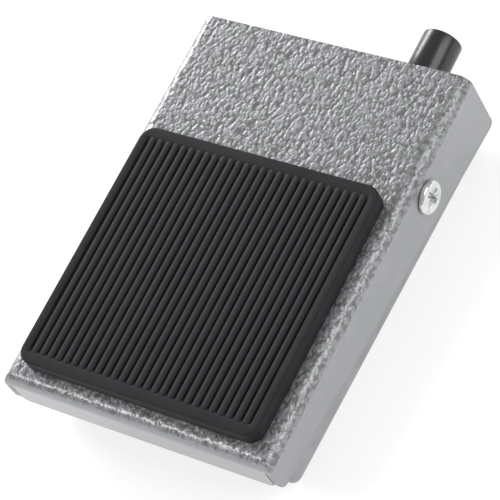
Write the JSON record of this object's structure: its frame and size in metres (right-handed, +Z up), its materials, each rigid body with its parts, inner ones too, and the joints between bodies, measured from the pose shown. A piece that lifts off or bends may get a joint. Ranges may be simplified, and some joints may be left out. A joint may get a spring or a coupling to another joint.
{
  "type": "volume pedal",
  "caption": "Low foot pedal: a bent sheet steel treadle with a ribbed rubber pad rocks on two screws over a sheet steel base with a rear cable gland.",
  "frame": {"origin": "on the floor under the middle of the pedal, the centre of the bottom of its bounding box", "axes": "+X to the right, +Y from the toe end towards the cable gland, +Z up; the pivot axis runs along X"},
  "size_m": [0.075, 0.1119, 0.0282],
  "materials": {
    "treadle_paint": "grey hammertone stoved enamel, satin",
    "base_paint": "smooth grey enamel, satin",
    "ribbed_rubber": "moulded black ribbed rubber",
    "foot_rubber": "moulded black rubber",
    "bright_zinc": "bright zinc plate",
    "zinc_steel": "zinc plated steel",
    "brass": "turned brass",
    "white_nylon": "natural nylon",
    "gland_plastic": "smooth black plastic",
    "spring_steel": "oiled spring wire",
    "pot_case": "dark moulded case",
    "pot_resin": "brown laminate",
    "tinned_brass": "tinned brass",
    "pot_shaft_steel": "turned aluminium"
  },
  "bodies": {
    "base": {"base_pan": "base_paint", "rubber_feet": "foot_rubber", "foot_rivets": "zinc_steel", "pivot_screws": "bright_zinc", "pivot_bushes": "brass", "pivot_washers": "white_nylon", "pivot_nuts": "zinc_steel", "cable_gland": "gland_plastic", "gland_nut": "gland_plastic", "spring_seat": "zinc_steel", "return_spring": "spring_steel", "toe_bumpers": "foot_rubber", "rest_posts": "zinc_steel", "rest_caps": "foot_rubber", "floor_screws": "zinc_steel", "pot_bracket": "zinc_steel", "bracket_screws": "zinc_steel", "pot_housing": "pot_case", "pot_back": "pot_resin", "pot_terminals": "tinned_brass", "pot_washer": "zinc_steel", "pot_nut": "brass"},
    "treadle": {"treadle": "treadle_paint", "tread_pad": "ribbed_rubber", "gear_sector": "white_nylon", "sector_washers": "zinc_steel", "sector_nuts": "zinc_steel", "spring_cup": "zinc_steel"},
    "pot_rotor": {"pot_shaft": "pot_shaft_steel", "drive_pinion": "brass", "pinion_screw": "zinc_steel"}
  },
  "joints": [
    {"name": "treadle_tilt", "type": "hinge", "parent": "base", "child": "treadle", "pos_m": [0, 0.0171, 0.0169], "axis": [1, 0, 0], "range_deg": [0, 5], "stiffness_Nm_per_rad": 4, "springref_deg": -1.72, "deforming": ["return_spring"]},
    {"name": "pot_turn", "type": "hinge", "parent": "base", "child": "pot_rotor", "pos_m": [0.006, -0.03204, 0.0109], "axis": [1, 0, 0], "range_deg": [-66, 0]}
  ],
  "couplings": [
    {"joint": "pot_turn", "follows": "treadle_tilt", "ratio": -13.143}
  ]
}
